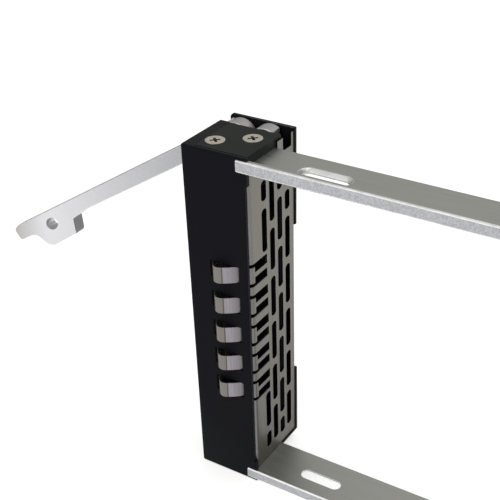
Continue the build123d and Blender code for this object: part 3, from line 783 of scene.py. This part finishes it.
def open_hole(bm, hole, along, shapes):
    """Works the lever's lock hole out into a short slot along the arm."""
    across = along.cross(SIDEWAYS)
    for vert in bm.verts:
        offset = vert.co - hole
        offset.x = 0.0
        if offset.length < shapes.hole_rim:
            vert.co += along * offset.dot(along) * (shapes.hole_length - 1)
            vert.co += across * offset.dot(across) * (shapes.hole_width - 1)


def soften_tail(bm, hole, shapes):
    """Takes the tail's small roundings back to corners, then rounds them as wide as on the real lever."""
    def in_tail(vert):
        return vert.co.z < hole.z + shapes.tail_top and (vert.co - hole).yz.length > shapes.hole_clear

    def close_by(vert):
        return (edge.other_vert(vert) for edge in vert.link_edges if edge.calc_length() < shapes.tail_short)

    for corner in joined([vert for vert in bm.verts if in_tail(vert)], close_by):
        middle = sum((vert.co for vert in corner), Vector()) / len(corner)
        bmesh.ops.pointmerge(bm, verts=corner, merge_co=middle)
    corners = [e for e in bm.edges if all(in_tail(v) for v in e.verts) and len(e.link_faces) == 2
               and abs(e.verts[0].co.x - e.verts[1].co.x) > CROSSWISE * e.calc_length()
               and e.calc_face_angle() > TAIL_ANGLE]
    bevelled(bm, corners, shapes.tail_corner, segments=6, clamp=True)


def mark_inner_shade(bm, along, hole, clear):
    """Marks the lever's faces that look back at its pivot from the hook, for painted shade."""
    mark = bm.faces.layers.float.new("inner_shade")
    low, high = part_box("ejector_lever")
    for face in bm.faces:
        centre = face.calc_center_median()
        beyond = centre.y < (low.y + high.y) / 2 and (centre - hole).yz.length > clear
        if beyond and abs(face.normal.x) < SLANTED and face.normal.dot(along) < LOOKS_BACK:
            face[mark] = 1.0


def finish_piece(bm, node, material):
    """The new piece takes the node's place, rides with its body and keeps crisp creases."""
    for face in bm.faces:
        face.smooth = True
    name = node + "_finished"
    mesh = bpy.data.meshes.new(name)
    bm.to_mesh(mesh)
    bm.free()
    mesh.set_sharp_from_angle(angle=CRISP_ANGLE)
    mesh.materials.append(material)
    piece = bpy.data.objects.new(name, mesh)
    bpy.context.scene.collection.objects.link(piece)
    weighted = piece.modifiers.new("Even shading", "WEIGHTED_NORMAL")
    weighted.keep_sharp = True
    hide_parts(node)
    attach(piece, body_of_node(node))


def body_of_node(node):
    """Name of the moving or fixed body that the record puts the node in."""
    bodies = frame["record"]["behaviour"]["bodies"]
    return next(body for body, nodes in bodies.items() if node in nodes)


def dress(node, material):
    """A node that keeps its own mesh gets the finish on all its faces."""
    mesh = frame["nodes"][node].data
    mesh.materials.clear()
    mesh.materials.append(material)


class CARRIER_OT_bezel(bpy.types.Operator):
    """Housing and end covers with rounded moulded edges"""
    bl_idname = "drive_carrier.bezel"
    bl_label = "Bezel and covers"

    def execute(self, context):
        scene = context.scene
        edges, colours, glance = scene.carrier_edges, scene.carrier_colours, scene.carrier_tones.glance
        black = moulded_black("Moulded black", colours.housing, colours.sheen, glance,
                              roughness=0.55, gloss=0.035, edge=8.0)
        bm = merged_copy("bezel_housing")
        round_edges(bm, edges.moulded, longer_than=edges.long_edge)
        no_rear_edge_highlight(bm)
        finish_piece(bm, "bezel_housing", black)
        satin = moulded_black("Cover black", colours.cover, colours.sheen, glance,
                              roughness=0.5, gloss=0.08, edge=6.0)
        for node in ("top_end_cover", "bottom_end_cover"):
            bm = merged_copy(node)
            round_edges(bm, edges.moulded_fine)
            finish_piece(bm, node, satin)
        return {"FINISHED"}


class CARRIER_OT_rails(bpy.types.Operator):
    """Side rails with bright rounded edges"""
    bl_idname = "drive_carrier.rails"
    bl_label = "Side rails"

    def execute(self, context):
        edges, colours = context.scene.carrier_edges, context.scene.carrier_colours
        metal = rolled_metal("Rail metal", colours.rail, roughness=0.40, stretch=(1.0, 0.03, 1.0),
                             lines=0.04, edge=1.9, speckle=0.5)
        for node in ("top_rail", "bottom_rail"):
            bm = merged_copy(node)
            mark_rail(bm)
            round_edges(bm, edges.rail)
            finish_piece(bm, node, metal)
        return {"FINISHED"}


class CARRIER_OT_shield(bpy.types.Operator):
    """Folded, punched shield with its spring fingers"""
    bl_idname = "drive_carrier.shield"
    bl_label = "Shield and fingers"

    def execute(self, context):
        scene = context.scene
        shapes = scene.carrier_shapes
        fold_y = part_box("emi_shield")[1].y
        steel = sheet_steel("Shield steel", scene.carrier_colours, scene.carrier_tones, fold_y)
        bm = merged_copy("emi_shield")
        bow_fingers(bm, fold_y - shapes.bow_root, fold_y - shapes.bow_foot, shapes.bow_rise)
        mark_sheet(bm, fold_y)
        open_slots(bm, shapes.widest_slot, shapes.slot_ease)
        round_edges(bm, scene.carrier_edges.sheet, segments=1)
        finish_piece(bm, "emi_shield", steel)
        dress("lock_guide_plate", steel)
        return {"FINISHED"}


class CARRIER_OT_screws(bpy.types.Operator):
    """End screws, guide screws and the inserts they turn in"""
    bl_idname = "drive_carrier.screws"
    bl_label = "Screws and inserts"

    def execute(self, context):
        edges, colours = context.scene.carrier_edges, context.scene.carrier_colours
        nickel = recessed_metal("Screw nickel", colours.screw, roughness=0.34, shade=0.12)
        for node in ("top_screw_front", "top_screw_rear", "bottom_screw_front", "bottom_screw_rear"):
            bm = merged_copy(node)
            mark_recess(bm, node)
            round_edges(bm, edges.screw)
            finish_piece(bm, node, nickel)
        dress("lock_guide_screws", nickel)
        brass = turned_metal("Insert brass", colours.brass, roughness=0.38)
        for node in ("top_inserts", "bottom_inserts"):
            dress(node, brass)
        return {"FINISHED"}


class CARRIER_OT_lever(bpy.types.Operator):
    """Ejector lever with its worked claw, lock hole and tail"""
    bl_idname = "drive_carrier.lever"
    bl_label = "Ejector lever"

    def execute(self, context):
        scene = context.scene
        shapes = scene.carrier_shapes
        silver = cast_silver("Lever silver", scene.carrier_colours.lever, scene.carrier_tones, roughness=0.46)
        bm = merged_copy("ejector_lever")
        trim_claw(bm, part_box("emi_shield")[1].y - shapes.claw_setback, shapes.claw_end)
        along = Vector((0.0, -cos(shapes.arm_angle), -sin(shapes.arm_angle)))
        hole = lock_hole(shapes, along)
        open_hole(bm, hole, along, shapes)
        soften_tail(bm, hole, shapes)
        mark_inner_shade(bm, along, hole, shapes.hole_clear)
        round_edges(bm, scene.carrier_edges.lever, segments=3)
        finish_piece(bm, "ejector_lever", silver)
        return {"FINISHED"}


class CARRIER_OT_pivot(bpy.types.Operator):
    """Pins, washer and return spring of the lever"""
    bl_idname = "drive_carrier.pivot"
    bl_label = "Lever pivot"

    def execute(self, context):
        colours = context.scene.carrier_colours
        ground = turned_metal("Pin steel", colours.pin, roughness=0.28)
        for node in ("lever_pivot_pin", "lever_stop_pin", "lever_washer"):
            dress(node, ground)
        dress("lever_return_spring", turned_metal("Spring wire", colours.spring, roughness=0.32))
        return {"FINISHED"}


class CARRIER_OT_lock(bpy.types.Operator):
    """Lock slider with its ribbed pad"""
    bl_idname = "drive_carrier.lock"
    bl_label = "Lock slider"

    def execute(self, context):
        scene = context.scene
        colours = scene.carrier_colours
        black = moulded_black("Lock black", colours.lock, colours.sheen, scene.carrier_tones.glance,
                              roughness=0.5, gloss=0.2, edge=2.5)
        bm = merged_copy("lock_slider")
        round_edges(bm, scene.carrier_edges.moulded_fine)
        finish_piece(bm, "lock_slider", black)
        return {"FINISHED"}


# Stage

def floor_finish(colour, glow):
    """Pale floor that looks white and keeps the carrier's shadow."""
    finish = Finish("Pale floor", roughness=0.9, metallic=0.0)
    finish.shader.inputs["Base Color"].default_value = (*colour, 1.0)
    finish.shader.inputs["Specular IOR Level"].default_value = 0.0
    path = finish.nodes.new("ShaderNodeLightPath")
    seen = finish.nodes.new("ShaderNodeMath")
    also = finish.nodes.new("ShaderNodeMath")
    seen.operation = also.operation = "MAXIMUM"
    finish.link(path.outputs["Is Camera Ray"], seen.inputs[0])
    finish.link(path.outputs["Is Glossy Ray"], seen.inputs[1])
    finish.link(seen.outputs["Value"], also.inputs[0])
    finish.link(path.outputs["Is Transmission Ray"], also.inputs[1])
    finish.shader.inputs["Emission Color"].default_value = (1.0, 1.0, 1.0, 1.0)
    shine = finish.ranged(also.outputs["Value"], low=0.0, high=glow)
    finish.link(shine, finish.shader.inputs["Emission Strength"])
    return finish.material


def soft_lamp(name, place, target, size, power):
    """Square area lamp turned towards a point."""
    data = bpy.data.lights.new(name, "AREA")
    data.shape = "SQUARE"
    data.size = size
    data.energy = power
    lamp = bpy.data.objects.new(name, data)
    bpy.context.scene.collection.objects.link(lamp)
    lamp.location = place
    lamp.rotation_euler = (target - place).to_track_quat("-Z", "Y").to_euler()


class CARRIER_OT_stage(bpy.types.Operator):
    """Floor, soft lamps, room light and camera"""
    bl_idname = "drive_carrier.stage"
    bl_label = "Stage"

    def execute(self, context):
        scene = context.scene
        stage, colours = scene.carrier_stage, scene.carrier_colours
        low, high = cad_box
        bm = bmesh.new()
        bmesh.ops.create_grid(bm, x_segments=1, y_segments=1, size=stage.floor_size / 2)
        bmesh.ops.translate(bm, verts=bm.verts, vec=(0.0, 0.0, low.z))
        mesh = bpy.data.meshes.new("floor")
        bm.to_mesh(mesh)
        bm.free()
        mesh.materials.append(floor_finish(colours.floor, stage.floor_glow))
        floor = bpy.data.objects.new("floor", mesh)
        scene.collection.objects.link(floor)

        middle = (low + high) / 2
        soft_lamp("key_lamp", middle + stage.key_place, middle, stage.key_size, stage.key_power)
        soft_lamp("top_lamp", middle + stage.top_place, middle, stage.top_size, stage.top_power)

        world = bpy.data.worlds.new("Studio")
        world.use_nodes = True
        sky = world.node_tree.nodes["Background"]
        sky.inputs["Color"].default_value = (*colours.world, 1.0)
        sky.inputs["Strength"].default_value = stage.world_strength
        scene.world = world

        data = bpy.data.cameras.new("camera")
        data.lens = stage.lens
        data.shift_x, data.shift_y = stage.shift
        data.clip_start, data.clip_end = stage.clip
        camera = bpy.data.objects.new("camera", data)
        scene.collection.objects.link(camera)
        camera.location = stage.camera_place
        camera.rotation_euler = stage.camera_turn
        scene.camera = camera
        scene.view_settings.view_transform = "Standard"
        return {"FINISHED"}


class CARRIER_PT_panel(bpy.types.Panel):
    """Lists the carrier's pieces and its stage"""
    bl_idname = "CARRIER_PT_panel"
    bl_label = "Drive carrier"
    bl_space_type = "VIEW_3D"
    bl_region_type = "UI"
    bl_category = "Drive carrier"

    def draw(self, context):
        for operator in OPERATORS:
            self.layout.operator(operator.bl_idname)


OPERATORS = (CARRIER_OT_bezel, CARRIER_OT_rails, CARRIER_OT_shield, CARRIER_OT_screws, CARRIER_OT_lever,
             CARRIER_OT_pivot, CARRIER_OT_lock, CARRIER_OT_stage)
GROUPS = (("carrier_edges", CarrierEdges), ("carrier_shapes", CarrierShapes), ("carrier_tones", CarrierTones),
          ("carrier_colours", CarrierColours), ("carrier_stage", CarrierStage))


def register():
    """Makes the sizes, colours, operators and panel known to Blender."""
    for name, group in GROUPS:
        bpy.utils.register_class(group)
        setattr(bpy.types.Scene, name, bpy.props.PointerProperty(type=group))
    for cls in (*OPERATORS, CARRIER_PT_panel):
        bpy.utils.register_class(cls)


def unregister():
    """Takes them all away again."""
    for cls in reversed((*OPERATORS, CARRIER_PT_panel)):
        bpy.utils.unregister_class(cls)
    for name, group in reversed(GROUPS):
        delattr(bpy.types.Scene, name)
        bpy.utils.unregister_class(group)


def main():
    """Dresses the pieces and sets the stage."""
    register()
    bpy.ops.drive_carrier.bezel()
    bpy.ops.drive_carrier.rails()
    bpy.ops.drive_carrier.shield()
    bpy.ops.drive_carrier.screws()
    bpy.ops.drive_carrier.lever()
    bpy.ops.drive_carrier.pivot()
    bpy.ops.drive_carrier.lock()
    bpy.ops.drive_carrier.stage()


if __name__ == "__main__":
    main()
